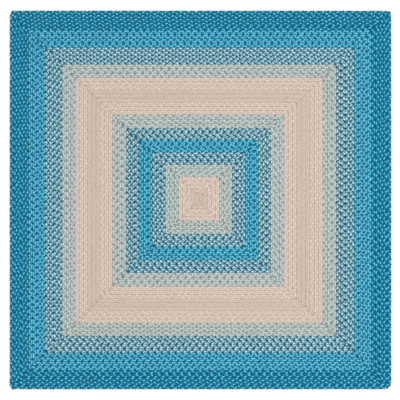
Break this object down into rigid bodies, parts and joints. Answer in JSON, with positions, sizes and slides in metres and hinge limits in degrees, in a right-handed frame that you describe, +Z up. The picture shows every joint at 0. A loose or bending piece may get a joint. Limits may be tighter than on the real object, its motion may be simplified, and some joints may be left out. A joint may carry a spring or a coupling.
{
  "type": "braided rug",
  "caption": "Square flat rug of three-strand braid, laid as concentric squares and laced row to row, in bands of teal, turquoise, navy and white, grey-cream and beige yarn.",
  "frame": {"origin": "on the floor, under the middle of the rug's outline", "axes": "+Z up through the rug's thickness, X across its width, Y along its length"},
  "size_m": [1.83, 1.816, 0.0092],
  "materials": {
    "braid_yarn": "matte spun yarn, braided, mixed colours",
    "yarn_dark_teal": "matte spun yarn",
    "yarn_light_blue": "matte spun yarn",
    "yarn_navy": "matte spun yarn",
    "yarn_mid_teal": "matte spun yarn",
    "yarn_white": "matte spun yarn",
    "yarn_grey_cream": "matte spun yarn",
    "yarn_grey_green": "matte spun yarn",
    "yarn_beige": "matte spun yarn",
    "yarn_cream": "matte spun yarn"
  },
  "bodies": {
    "root": {"rug": "braid_yarn"}
  },
  "joints": []
}
